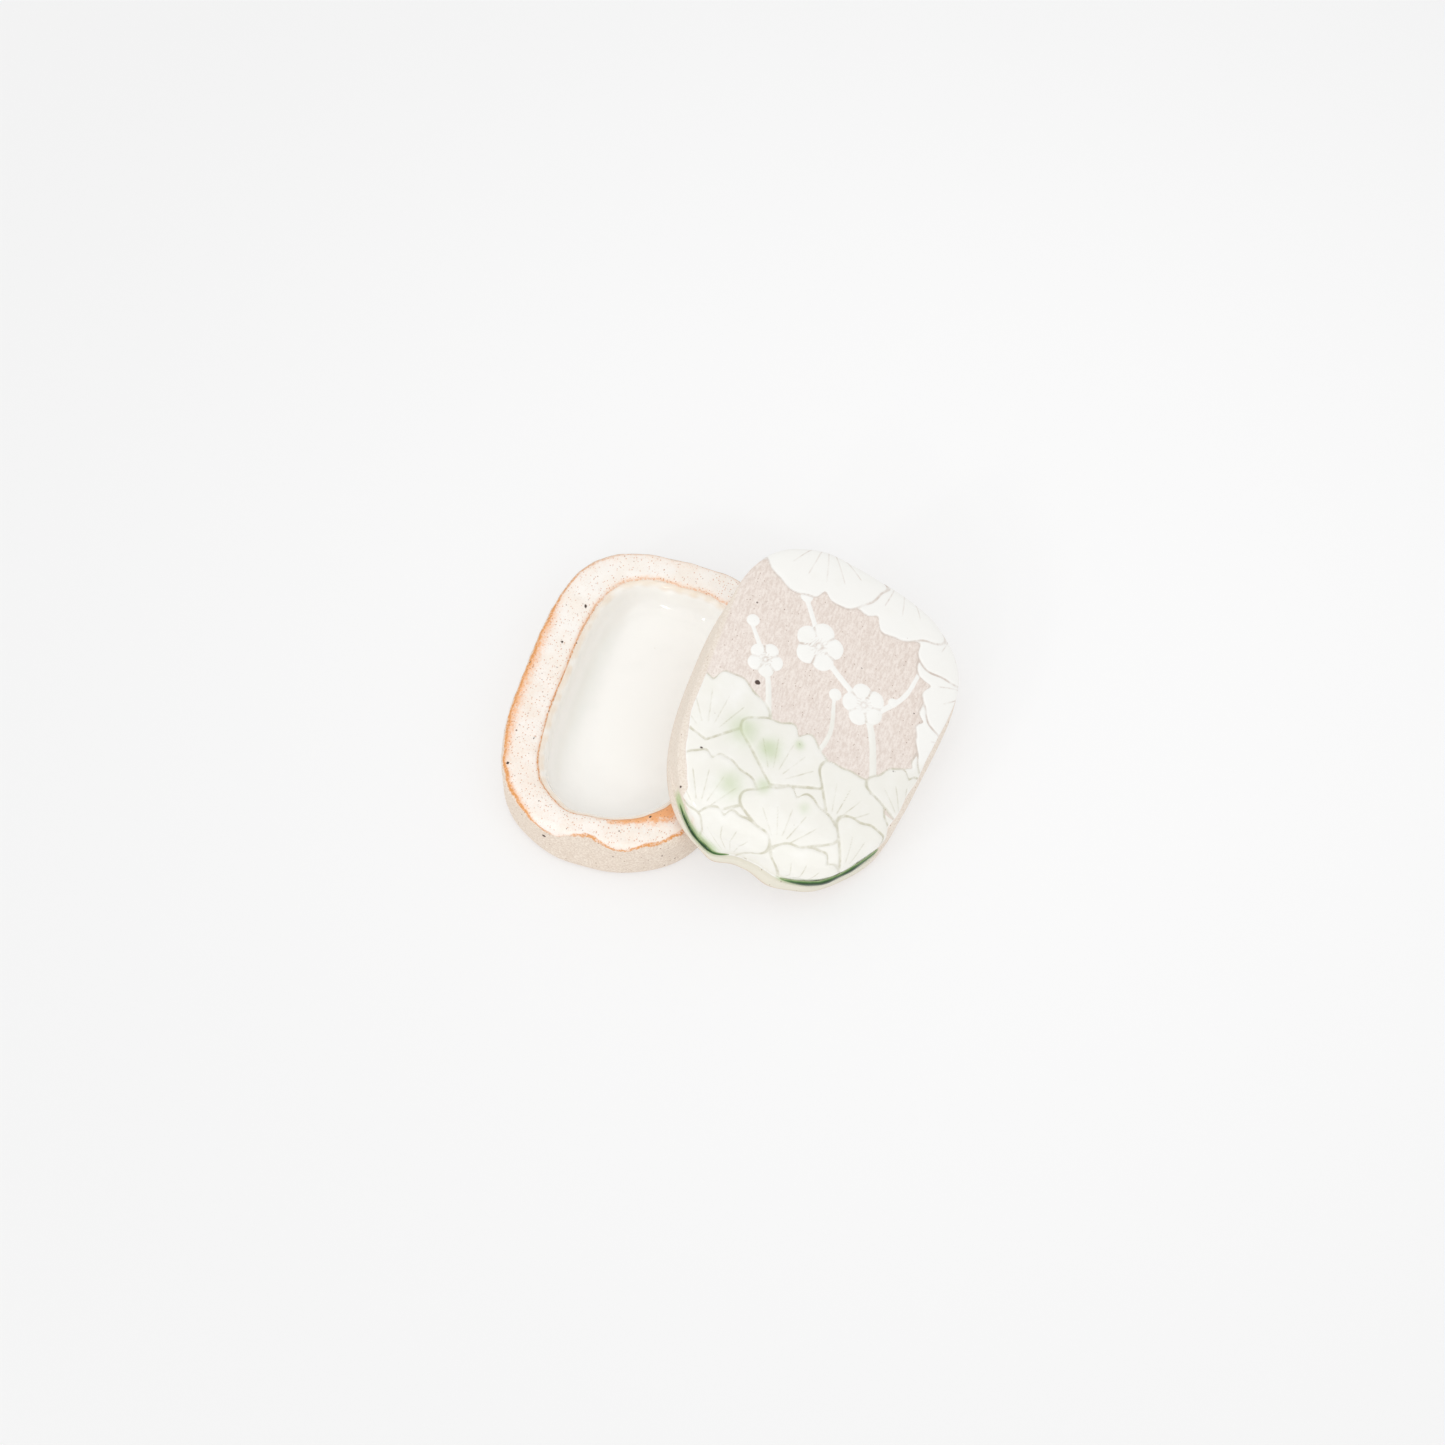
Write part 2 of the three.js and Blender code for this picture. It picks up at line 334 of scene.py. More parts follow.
def push_out(piece, heights):
    """Moves each point of a piece along its normal by a height in millimetres."""
    mesh = piece.data
    count = len(mesh.vertices)
    places = np.empty(count * 3, dtype=np.float32)
    mesh.vertices.foreach_get("co", places)
    normals = np.empty(count * 3, dtype=np.float32)
    mesh.vertex_normals.foreach_get("vector", normals)
    places += normals * np.repeat(heights * MM, 3).astype(np.float32)
    mesh.vertices.foreach_set("co", places)
    mesh.update()


def add_field(piece, name, values):
    """Keeps a number for each point of a piece, which its material reads by this name."""
    field = piece.data.attributes.new(name, "FLOAT", "POINT")
    field.data.foreach_set("value", np.ravel(values).astype(np.float32))


def node_points(name):
    """A CAD node's points in millimetres, each place once."""
    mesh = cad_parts[name].data
    places = np.empty(len(mesh.vertices) * 3, dtype=np.float32)
    mesh.vertices.foreach_get("co", places)
    return np.unique(np.round(places.reshape(-1, 3) / MM, 3), axis=0)


def lid_frame():
    """The leaning lid's own origin and axes, from the lining of its hollow.

    The lining is alike on both sides of its two middle planes, so the directions of its
    least and largest spread are the lid's upward and lengthwise axes.
    """
    lining = node_points("lid_hollow_glaze")
    directions = np.linalg.eigh(np.cov(lining.T))[1]
    up = directions[:, 0] * np.sign(directions[2, 0])
    along = directions[:, 2] * np.sign(directions[1, 2])
    across = np.cross(along, up)
    middle = lining.mean(axis=0)
    foot = (node_points("lid_body") @ up).min()
    return middle + up * (foot - middle @ up), np.stack([across, along, up])


LID_ORIGIN, LID_AXES = lid_frame()
LID_TOP = float(((node_points("lid_body") - LID_ORIGIN) @ LID_AXES[2]).max())


def on_lid(points):
    """Points of the lid's own frame in the row frame."""
    return points @ LID_AXES + LID_ORIGIN


def shoulder_height(angle):
    """The height at which the wall turns into the crown; it drops at the near end."""
    return SHOULDER_HEIGHT - SHOULDER_DROP * np.clip(-np.sin(angle), 0, 1) ** 3


def ledge(angle):
    """Width and height of the ledge round the near end, which climbs on its right and sinks
    on its left."""
    middle, full, end = LEDGE_REACH
    start, over, rise = LEDGE_CLIMB
    lowest, spread, depth = LEDGE_SINK
    climb = away(angle, math.radians(start)) / math.radians(over)
    reach = np.abs(away(angle, math.radians(middle)))
    width = LEDGE_WIDTH * (1 - smooth(math.radians(full), math.radians(end), reach))
    height = LEDGE_HEIGHT + rise * smooth(0, 1, climb) * (1 - smooth(1, 2.5, climb))
    return width, height - depth * bell(angle, lowest, spread)


def wall_point(angle, height, inset):
    """The wall between foot and shoulder: a blend of the two outlines by a power of the height.

    It is drawn in by inset and by a dent, a bell curve round one angle.
    """
    climb = height / shoulder_height(angle)
    foot = FOOT.plan(angle)
    plan = foot + (SHOULDER.plan(angle) - foot) * (climb**WALL_CURVE)[..., None]
    middle, spread, depth = DENT
    drawn_in = inset + depth * bell(angle, middle, spread) * (1 - 0.4 * climb)
    plan = plan * (1 - drawn_in / np.linalg.norm(plan, axis=-1))[..., None]
    return np.concatenate([plan, height[..., None]], axis=-1)


def upper_wall_point(angle, share, out=0.0):
    """The wall above the ledge, set back by the ledge's width less and less up to the shoulder."""
    width, height = ledge(angle)
    level = mix(height + LEDGE_STEP, shoulder_height(angle), share)
    return wall_point(angle, level, width * (1 - share) - out)


def crown_point(angle, share):
    """The pillow of the crown: a straight blend in plan, and a root of 1 - share^n in height."""
    edge = upper_wall_point(angle, np.ones_like(angle))
    centre = np.array([SHOULDER.x, SHOULDER.y])
    plan = centre + (edge[..., :2] - centre) * share[..., None]
    height = mix(edge[..., 2], LID_TOP, np.sqrt(np.clip(1 - share**CROWN_CURVE, 0, 1)))
    return np.concatenate([plan, height[..., None]], axis=-1)


def lid_point(angle, way):
    """The lid's outer surface: way runs from 0 at the top over shoulder and ledge to the foot."""
    width, height = ledge(angle)
    on_crown = np.clip(way / SHOULDER_SHARE, 0, 1)
    crown = crown_point(angle, 1 - (1 - on_crown) ** CROWN_EASE)
    on_wall = np.clip((LEDGE_SHARE - way) / (LEDGE_SHARE - SHOULDER_SHARE), 0, 1)
    wall = upper_wall_point(angle, on_wall)
    on_ledge = np.clip((way - LEDGE_SHARE) / (BAND_SHARE - LEDGE_SHARE), 0, 1)[..., None]
    band_top = wall_point(angle, height, 0.1 * np.minimum(1, width))
    step = mix(upper_wall_point(angle, np.zeros_like(angle)), band_top, on_ledge)
    on_band = np.clip((way - BAND_SHARE) / (1 - BAND_SHARE), 0, 1)
    inset = 0.1 * np.minimum(1, width) * (1 - on_band)
    band = wall_point(angle, mix(height, FOOT_ROUND, on_band), inset)
    way = way[..., None]
    lower = np.where(way < BAND_SHARE, step, band)
    return np.where(way < SHOULDER_SHARE, crown, np.where(way < LEDGE_SHARE, wall, lower))


def lid_grid():
    """Outline parameter and way of a square grid laid over the lid.

    A grid point's way is the larger of its two sizes. Its place along its side of the square
    gives the sine or cosine, to the power that spreads a superellipse's points evenly.
    """
    a, b = np.meshgrid(np.linspace(-1, 1, LID_CELLS_X + 1), np.linspace(-1, 1, LID_CELLS_Y + 1))
    way = np.maximum(np.abs(a), np.abs(b))
    safe = np.maximum(way, 1e-9)
    corner = 0.5 ** (1 / 3)
    cosine = signed_power(a / safe * corner, 1.5)
    sine = signed_power(b / safe * corner, 1.5)
    on_end = np.abs(b) >= np.abs(a)
    cosine = np.where(on_end, cosine, np.sign(a) * np.sqrt(1 - sine**2))
    sine = np.where(on_end, np.sign(b) * np.sqrt(1 - np.where(on_end, cosine, 0) ** 2), sine)
    return np.arctan2(sine, cosine), way


def unrolled(angle, way):
    """Places on the lid as if its skin lay flat: length along it from the top, by direction.

    The lengths are summed on a table over way and angle and read between its lines.
    """
    ways = np.linspace(0, 1, 201)
    turns = np.linspace(0, 2 * math.pi, 361)
    table = arc_lengths(lid_point(*np.meshgrid(turns, ways)))
    row = np.clip(way * 200, 0, 199.999)
    column = np.mod(angle, 2 * math.pi) / (2 * math.pi) * 359.999
    r, c = row.astype(int), column.astype(int)
    near = mix(table[r, c], table[r, c + 1], column - c)
    far = mix(table[r + 1, c], table[r + 1, c + 1], column - c)
    length = mix(near, far, row - r)
    edge = upper_wall_point(angle, np.ones_like(angle))
    direction = np.arctan2(edge[..., 1] - SHOULDER.y, edge[..., 0] - SHOULDER.x)
    return length * np.cos(direction), length * np.sin(direction)


def soft_least(a, b, blend):
    """The smaller of two distances, rounded over where they are alike."""
    share = np.clip(0.5 + 0.5 * (b - a) / blend, 0, 1)
    return mix(b, a, share) - blend * share * (1 - share)


class Relief:
    """Raised motifs on the lid's unrolled skin, each laid over the ones before it.

    inside is the distance in from the edge of the raised areas, line the distance to the
    nearest incised line, and height how far the skin stands out, all in millimetres.
    """

    def __init__(self, u, v):
        self.u = u
        self.v = v
        self.inside = np.full(u.shape, -NO_LINE)
        self.line = np.full(u.shape, NO_LINE)
        self.height = np.zeros(u.shape)

    def lay(self, inside, line, height, rim=0.0):
        """Lays a motif over the others: it hides their lines, and its edge is a line too.

        The edge's line is weaker by rim, and lies only outside it where rim is over 0.
        """
        over = smooth(-0.08, 0.08, inside)
        within = line if rim else np.minimum(line, inside)
        self.line = np.where(inside > 0, within, np.minimum(self.line, rim - inside))
        self.height = mix(self.height, height, over)
        self.inside = np.maximum(self.inside, inside)

    def fan_leaf(self, u, v, direction, radius, spread):
        """A fan-shaped leaf: a sector with a scalloped, notched rim and veins from its stalk."""
        du, dv = self.u - u, self.v - v
        reach = np.hypot(du, dv)
        turn = away(np.arctan2(dv, du), math.radians(direction))
        half = math.radians(spread)
        scallops = 0.03 * np.cos(7 * turn + radius) + 0.012 * np.cos(17 * turn + u)
        notch = 0.13 * np.exp(-((turn / 0.08) ** 2))
        rim = radius * (1 + scallops - notch)
        side = reach * np.sin(np.clip(half - np.abs(turn), -math.pi / 2, math.pi / 2))
        inside = soft_least(rim - reach, side + 0.25, 2.2)
        pitch = half / 3
        vein = reach * np.abs(np.sin(turn - np.round(turn / pitch) * pitch))
        vein = vein + 0.5 * np.maximum(0, 0.25 * radius - reach)
        vein = vein + 0.25 * np.maximum(0, reach - 0.68 * radius)
        rise = smooth(0, 0.7, inside) * (0.05 + 0.06 * np.clip(reach / radius, 0, 1))
        self.lay(inside, vein + 0.14, rise)

    def blossom(self, u, v, turn, radius):
        """Five round petals: circles round a middle circle, with stamens as short lines."""
        du, dv = self.u - u, self.v - v
        reach = np.hypot(du, dv)
        direction = np.arctan2(dv, du) - math.radians(turn)
        pitch = 2 * math.pi / 5
        petals = []
        for k in range(5):
            x = du - 0.56 * radius * math.cos(math.radians(turn) + pitch * k)
            y = dv - 0.56 * radius * math.sin(math.radians(turn) + pitch * k)
            petals.append(0.46 * radius - np.hypot(x, y))
        petals = np.sort(np.stack(petals), axis=0)
        inside = np.maximum(petals[-1], 0.30 * radius - reach)
        seam = (petals[-1] - petals[-2]) / 2
        seam = np.where(reach < 0.36 * radius, NO_LINE, seam)
        fine = pitch / 3
        stamen = reach * np.abs(np.sin(direction - np.round(direction / fine) * fine))
        stamen = stamen + np.maximum(0, 0.16 * radius - reach) + np.maximum(0, reach - 0.40 * radius)
        ring = np.abs(reach - 0.13 * radius)
        line = np.minimum(np.minimum(seam, stamen + 0.12), ring) + 0.06
        rise = smooth(0, 0.5, inside) * 0.12 * (1 - 0.4 * np.exp(-((reach / (0.4 * radius)) ** 2)))
        self.lay(inside, line, rise, 0.22)

    def bud(self, u, v, radius):
        """A round bud."""
        inside = radius - np.hypot(self.u - u, self.v - v)
        self.lay(inside, np.full(inside.shape, NO_LINE), smooth(0, 0.5, inside) * 0.11, 0.25)

    def twig(self, stops, thick, thin):
        """A twig through stops, a round stroke that thins towards its end."""
        stops = [np.array([[u, v, 0.0]]) for u, v in stops]
        path = curve_through(stops, 1.2)[0][:, 0, :2]
        inside = np.full(self.u.shape, -NO_LINE)
        for k in range(len(path) - 1):
            start, span = path[k], path[k + 1] - path[k]
            share = (self.u - start[0]) * span[0] + (self.v - start[1]) * span[1]
            share = np.clip(share / (span @ span), 0, 1)
            far = np.hypot(self.u - start[0] - span[0] * share, self.v - start[1] - span[1] * share)
            inside = np.maximum(inside, mix(thick, thin, (k + share) / (len(path) - 1)) - far)
        self.lay(inside, np.full(inside.shape, NO_LINE), smooth(0, 0.4, inside) * 0.1, 0.25)


def draw_relief(relief):
    """Fan leaves at both ends and on the right, and blossoms on twigs between them."""
    relief.twig([(16, -10), (9, 3), (-3, 10), (-12, 20)], 0.8, 0.5)
    relief.twig([(9, 3), (14, 11), (15, 18)], 0.65, 0.4)
    relief.twig([(-8, -9), (-12.5, 1), (-19, 9)], 0.7, 0.4)
    relief.twig([(2, -12), (3.5, -4), (1.5, 3)], 0.55, 0.4)
    for u, v, radius in ((-11.7, 20, 1.3), (-19.3, 10, 1.3), (1.3, 4.0, 1.3), (12.4, 8.6, 1.0)):
        relief.bud(u, v, radius)
    relief.blossom(-5.5, 11.5, 20, 5.0)
    relief.blossom(7.3, 5.0, 50, 4.4)
    relief.blossom(-14.0, 3.5, 80, 3.6)
    for leaf in (
        (31, -2, 176, 11, 56),
        (31, 10, -172, 13, 56),
        (29, 22, -152, 15, 58),
        (20, 36, -120, 17, 54),
        (-22, 36, -60, 12, 58),
        (5, 39, -98, 17.5, 56),
        (-12, 36, -76, 16, 60),
        (-18, -17, 106, 14.5, 60),
        (-3, -19, 84, 13, 60),
        (11, -21, 66, 12.5, 58),
        (24, -13, 104, 11, 58),
        (-13, -31, 102, 12.5, 62),
        (4, -30, 96, 12.5, 60),
        (18, -28, 64, 11.5, 60),
        (-25, -32, 122, 11, 60),
        (-5, -39, 108, 12, 62),
        (12, -38, 78, 12, 62),
        (-17, -42, 118, 11.5, 60),
        (25, -36, 62, 11.5, 60),
        (3, -48, 94, 11, 62),
    ):
        relief.fan_leaf(*leaf)


class Value:
    """A number that changes over a surface; sums and products of it add Math nodes."""

    def __init__(self, finish, socket):
        self.finish = finish
        self.socket = socket

    def maths(self, operation, *values):
        """A Math node over values."""
        return self.finish.node("ShaderNodeMath", {"operation": operation}, dict(enumerate(values)))

    def __add__(self, other):
        return self.maths("ADD", self, other)

    def __radd__(self, other):
        return self.maths("ADD", other, self)

    def __sub__(self, other):
        return self.maths("SUBTRACT", self, other)

    def __rsub__(self, other):
        return self.maths("SUBTRACT", other, self)

    def __mul__(self, other):
        return self.maths("MULTIPLY", self, other)

    def __rmul__(self, other):
        return self.maths("MULTIPLY", other, self)

    def __abs__(self):
        return self.maths("ABSOLUTE", self)

    def most(self, other):
        """The larger of two."""
        return self.maths("MAXIMUM", self, other)

    def least(self, other):
        """The smaller of two."""
        return self.maths("MINIMUM", self, other)

    def step(self, low, high):
        """0 at low, 1 at high, smooth between them."""
        settings = {"interpolation_type": "SMOOTHSTEP"}
        return self.finish.node("ShaderNodeMapRange", settings, {0: self, 1: low, 2: high})


class Finish:
    """A material, whose nodes are all added by one method."""

    def __init__(self, name, **constants):
        self.material = bpy.data.materials.new(name)
        self.material.use_nodes = True
        self.nodes = self.material.node_tree.nodes
        self.links = self.material.node_tree.links
        self.shader = self.nodes["Principled BSDF"]
        for socket, value in constants.items():
            self.shader.inputs[socket.replace("_", " ")].default_value = value
        self.places = self.node("ShaderNodeTexCoord", out="Object")

    def node(self, kind, settings=None, inputs=None, out=0):
        """Adds a node of a type, with its settings and then the values or links of its sockets."""
        made = self.nodes.new(kind)
        for name, value in (settings or {}).items():
            setattr(made, name, value)
        for socket, value in (inputs or {}).items():
            self.feed(made.inputs[socket], value)
        return Value(self, made.outputs[out])

    def feed(self, socket, value):
        """Links a value to a socket, or sets the socket to a constant."""
        if isinstance(value, Value):
            self.links.new(value.socket, socket)
        else:
            socket.default_value = value

    def field(self, name):
        """A number kept with the piece's points."""
        return self.node("ShaderNodeAttribute", {"attribute_name": name}, out="Fac")

    def noise(self, size, detail=2.0, rough=0.55, stretch=None):
        """Noise from 0 to 1 whose features are about size millimetres."""
        places = self.places
        if stretch:
            settings = {"operation": "MULTIPLY"}
            places = self.node("ShaderNodeVectorMath", settings, {0: places, 1: stretch})
        inputs = {"Vector": places, "Scale": 1 / (size * MM), "Detail": detail, "Roughness": rough}
        return self.node("ShaderNodeTexNoise", inputs=inputs)

    def specks(self, size, radius, share):
        """Round specks in cells of size millimetres, in a share of the cells."""
        inputs = {"Vector": self.places, "Scale": 1 / (size * MM)}
        cells = self.node("ShaderNodeTexVoronoi", inputs=inputs, out="Distance")
        chance = self.node("ShaderNodeTexVoronoi", inputs=inputs, out="Color")
        red = self.node("ShaderNodeSeparateColor", inputs={0: chance})
        reach = radius / size
        spot = 1 - cells.step(reach * 0.55, reach)
        return spot * (1 - red.step(share - 0.02, share + 0.02))

    def blend(self, share, a, b):
        """Colour a where share is 0 and b where it is 1."""
        settings = {"data_type": "RGBA"}
        a, b = (c if isinstance(c, Value) else (*c, 1.0) for c in (a, b))
        return self.node("ShaderNodeMix", settings, {0: share, 6: a, 7: b}, 2)

    def paint(self, **sockets):
        """Feeds the shader's sockets that change over the surface."""
        for name, value in sockets.items():
            self.feed(self.shader.inputs[name.replace("_", " ")], value)

    def grain(self, height, depth):
        """Fine unevenness of the surface: a height from 0 to 1 that stands depth millimetres."""
        inputs = {"Strength": 1.0, "Distance": depth * MM, "Height": height}
        self.paint(Normal=self.node("ShaderNodeBump", inputs=inputs))


def base_clay_finish(colours):
    """Bare beige clay with cream slip on the rim, flashed orange at its edges, and iron specks."""
    made = Finish("stoneware", Roughness=0.62)
    slip, flash, mouth = made.field("slip"), made.field("flash"), made.field("mouth")
    grit, small, broad = made.noise(0.42, 3, 0.7), made.noise(1.1, 4), made.noise(4.5, 3)
    ragged = small * 0.6 + grit * 0.4 - 0.5
    bare = made.blend(grit.step(0.30, 0.64), colours.clay, tone(222, 206, 190))
    cream = made.blend(broad.step(0.35, 0.7), colours.slip, tone(250, 242, 232))
    covered = (slip + ragged * 0.9).step(-0.12, 0.12)
    ground = made.blend(covered, bare, cream)
    rust = (flash * (0.2 * small + 1.9 * grit)).step(0.10, 1.15)
    wash = made.blend(rust * 0.95, ground, colours.flash)
    stipple = made.specks(0.5, 0.17, 0.45) * covered * (0.42 + 1.0 * flash.least(0.6))
    wash = made.blend(stipple, wash, tone(210, 146, 102))
    dust = made.specks(0.37, 0.12, 0.3) * (0.12 + 0.5 * flash.least(0.5))
    wash = made.blend(dust, wash, tone(186, 122, 84))
    brink = 1 - abs(slip - 0.12 + ragged * 1.3).step(0.14, 0.58)
    lip = 1 - abs(mouth + 0.50 + ragged * 0.8).step(0.05, 0.34)
    lines = (lip * made.field("lip")).most(brink * made.field("brink"))
    wash = made.blend(lines * (0.30 + 0.70 * grit.step(0.38, 0.56)), wash, tone(226, 154, 84))
    flecks = made.specks(1.1, 0.18, 0.42) * (0.5 + 0.3 * (1 - covered))
    wash = made.blend(flecks, wash, tone(158, 122, 98))
    wash = made.blend(made.specks(2.3, 0.24, 0.42) * 0.85, wash, tone(112, 80, 60))
    wash = made.blend(1 - made.field("spot").step(-0.06, 0.10), wash, colours.iron)
    # Darker brown at the very foot of the wall: partly the clay's own foot line, partly painted shade
    # where the foot's chamfer meets the table.
    wash = made.blend(made.field("foot"), wash, tone(190, 160, 138))
    made.paint(Base_Color=wash, Roughness=mix(0.8, 0.5, covered))
    made.grain(grit * (1 - 0.5 * covered) + small * 0.5, 0.09)
    return made.material


def lining_finish(colours, name):
    """A clear glossy glaze over white, thicker and greener in the corner of the floor."""
    made = Finish(name, Roughness=0.07, Coat_Weight=0.2, Coat_Roughness=0.03)
    small, broad = made.noise(1.1, 3), made.noise(5.0, 2)
    pooled = made.field("pooled") * (0.6 + 0.8 * broad)
    thin = made.field("thin") * (0.8 + 0.4 * small)
    wash = made.blend(pooled.step(0.3, 1.2), colours.glaze, tone(248, 249, 243))
    wash = made.blend(thin.step(0.1, 1.2), wash, tone(244, 228, 208))
    wash = made.blend(made.specks(2.6, 0.13, 0.25) * 0.3, wash, tone(190, 170, 140))
    made.paint(Base_Color=wash)
    made.grain(small, 0.012)
    return made.material


def lid_finish(colours):
    """Scraped beige clay with white slip on the raised motifs, glazed over at the near end."""
    made = Finish("lid_stoneware", Coat_Roughness=0.05)
    fine, small, broad = made.noise(0.4, 3, 0.7), made.noise(1.2, 3), made.noise(4.0, 2)
    scrape = made.noise(0.5, 3, 0.6, (1.0, 0.35, 1.0))
    white, line, coat, green = (made.field(n) for n in ("white", "line", "coat", "green"))
    ground = made.blend((scrape * 0.6 + fine * 0.4).step(0.36, 0.64), colours.ground, tone(226, 212, 202))
    bare = made.blend(fine.step(0.34, 0.70), tone(241, 231, 219), tone(225, 212, 197))
    ground = made.blend(made.field("flank"), ground, bare)
    ground = made.blend(made.field("band"), ground, tone(230, 225, 210))
    slip = made.blend((broad * 0.6 + coat * 0.4).step(0.3, 0.8), colours.leaf, tone(242, 240, 232))
    raised_part = (white + (small - 0.5) * 0.2).step(-0.10, 0.14)
    wash = made.blend(raised_part, ground, slip)
    incised = (1 - line.step(0.10, 0.38)) * white.step(-0.4, -0.1)
    crevice = made.blend(coat, tone(216, 203, 193), tone(207, 203, 182))
    wash = made.blend(incised * (0.1 + 1.2 * (small * 0.5 + broad * 0.5).step(0.3, 0.75)), wash, crevice)
    tint = (green * (0.5 + 0.7 * broad)).step(0.02, 1.0)
    wash = made.blend(tint * 0.85, wash, tone(190, 208, 160))
    specks = made.specks(1.0, 0.15, 0.5) * 0.6 * (1 - raised_part)
    wash = made.blend(specks, wash, tone(150, 118, 92))
    wash = made.blend(made.specks(2.9, 0.17, 0.3) * (0.75 - 0.55 * raised_part), wash, tone(128, 96, 74))
    wash = made.blend(1 - made.field("spot").step(-0.06, 0.10), wash, colours.iron)
    wash = made.blend(made.field("foot"), wash, tone(202, 164, 134))
    gloss = coat * (0.75 + 0.25 * small)
    made.paint(Base_Color=wash, Roughness=mix(0.78, 0.25, gloss), Coat_Weight=gloss)
    made.grain(fine * 0.35 + scrape * (1 - raised_part) * 0.5 * (1 - 0.8 * coat), 0.06)
    return made.material


def pool_finish(colours):
    """Glossy green glaze, dark where it is thick and pale at its thin edges."""
    made = Finish(
        "green_glaze", Roughness=0.08, Specular_IOR_Level=0.3, Coat_Weight=0.2, Coat_Roughness=0.02
    )
    depth = made.field("depth") + (made.noise(1.4, 2) - 0.5) * 0.3
    wash = made.blend(depth.step(0.02, 0.4), tone(176, 192, 146), colours.green)
    wash = made.blend(depth.step(0.30, 0.8), wash, tone(30, 64, 26))
    made.paint(Base_Color=wash)
    return made.material


# The slip ends a little below the rim's outer edge. It runs down the near wall in tongues, each
# the angle of its middle, its spread and its length in millimetres; a negative one is a bare bit.
SLIP_REACH = 0.3
SLIP_TONGUES = ((-103, 8, 2.8), (-79, 6, 2.0), (-90, 3, -0.4), (-56, 8, -0.6))
# The most visible iron spots, about where the photograph shows them. On the base: degrees round
# the middle, millimetres in from the rim's edge (down the wall where negative) and radius. On
# the lid: its own x and y, and radius.
BASE_SPOTS = (
    (-105, -5.0, 0.42),
    (158, 4.5, 0.26),
    (135, 5.5, 0.30),
    (175, 5.5, 0.15),
    (-138, 5.5, 0.22),
    (-132, 0.5, 0.26),
    (-67, 6.0, 0.22),
    (-79, 2.5, 0.16),
)
LID_SPOTS = (
    (-13.5, -0.5, 0.6),
    (-20, 15, 0.18),
    (-19, 11, 0.16),
    (-23, 8, 0.15),
    (4, 13, 0.19),
    (17, 10, 0.24),
    (-9, 3, 0.14),
    (18, -3, 0.18),
    (-18, -18, 0.2),
    (-1, -8, 0.2),
    (-18, -26, 0.16),
)
# Green in the clear glaze: the lid's own x and y, how far it spreads, and its strength.
GREEN_TINTS = (
    (-12, -11, 4.0, 0.65),
    (-6, -12, 3.2, 0.75),
    (-10, -22, 3.4, 0.6),
    (-4, -19, 1.8, 0.7),
    (5, -19, 1.5, 0.5),
    (-1, -8, 1.3, 0.7),
)
# How far down the lid the white slip reaches at its sides, far end and near end, as a share of
# the way from the crown's middle to the foot.
SKIRT_SIDE = 0.71
SKIRT_FAR = 0.815
SKIRT_NEAR = 0.936
SKIN_LENGTH = 42.0  # about the millimetres over the skin from the crown's middle to its ends' foot
HEAP_EDGE = -13  # on the unrolled skin, the far edge of the heap of leaves at the near end
GREEN_HEM = 0.84  # where the green above a pool begins, as a share of the way to the foot
NO_LINE = 9.0  # a distance, in millimetres, that is too far from any line to show one


def base_rows(well_depth):
    """The base's rows from the middle of its foot over wall and rim to the middle of the well.

    Returns them with the numbers of the row on the rim's outer edge and of the one at its mouth.
    """
    angle = even_angles(BASE_COLUMNS, BASE_POWER)
    top = BASE_TOP
    foot = BASE.bulged(FOOT_BULGES)
    control = [
        BASE.half(2.5).row(angle, 0, 0),
        foot.row(angle, BASE_TAPER + 1.3, 0),
        foot.row(angle, BASE_TAPER + 0.4, 0.3),
        foot.row(angle, BASE_TAPER, 1.1),
        BASE.bulged(FOOT_BULGES, 0.5).row(angle, 0.35, top * 0.5),
        BASE.row(angle, 0.0, top - 1.6),
        BASE.row(angle, 0.25, top - 0.7),
        BASE.row(angle, 0.9, top - 0.15),
        BASE.row(angle, 1.9, top),
        BASE_WELL.row(angle, -1.2, top),
        BASE_WELL.row(angle, -0.4, top - 0.2),
        BASE_WELL.row(angle, 0.15, top - 0.8),
        *reversed(raised(hollow_rows(BASE_WELL, angle, well_depth, GLAZE_THICK), top)),
    ]
    rows, marks = curve_through(control, 0.3)
    rows[..., 2] = np.maximum(rows[..., 2], 0)
    return rows, marks[7], marks[10]


def flashing(rows, turn, slip, mouth):
    """How orange the base is: most at the slip's outer edge on the left and at the near mouth."""
    inwards = np.clip(slip, 0, 9)
    outer = np.maximum.reduce(
        [
            window(turn, 158, 214, 34) * np.exp(-((inwards / 2.1) ** 1.4)),
            window(turn, -155, -112, 12) * np.exp(-((inwards / 1.15) ** 1.4)),
            0.35 * window(turn, 90, 150, 20) * np.exp(-((inwards / 3.5) ** 1.4)),
            0.42 * np.exp(-((inwards / 0.7) ** 2)),
        ]
    )
    widen = smooth(-88, -52, np.degrees(turn)) * window(turn, -88, -30, 20)
    patch = (0.5 + 0.5 * widen) * window(turn, -84, -30, 10)
    fade = 1 - (mouth + 0.4 * wavy(rows, 1.2, 14)) / (1.8 + 3.0 * widen)
    patch = 1.8 * patch * np.clip(fade, 0, 1) ** 1.4
    lip = 0.5 * np.exp(-(((mouth + 0.5) / 0.9) ** 2))
    blush = mix(0.16, 0.26, window(turn, -175, -40, 20))
    flash = np.maximum.reduce([outer, patch, lip, blush])
    return flash * smooth(-0.6, 0.1, slip) * smooth(-1.5, -0.7, mouth)


def base_spots(rows, turn, edge):
    """The distance beyond the edge of the nearest iron spot, measured over the surface."""
    spot = np.full(turn.shape, 1.0)
    for direction, inwards, radius in BASE_SPOTS:
        sideways = away(turn, math.radians(direction)) * np.hypot(rows[..., 0], rows[..., 1])
        far = np.hypot(edge - inwards, sideways) + 0.06 * wavy(rows, 0.7, 12)
        spot = np.minimum(spot, far - radius)
    return spot


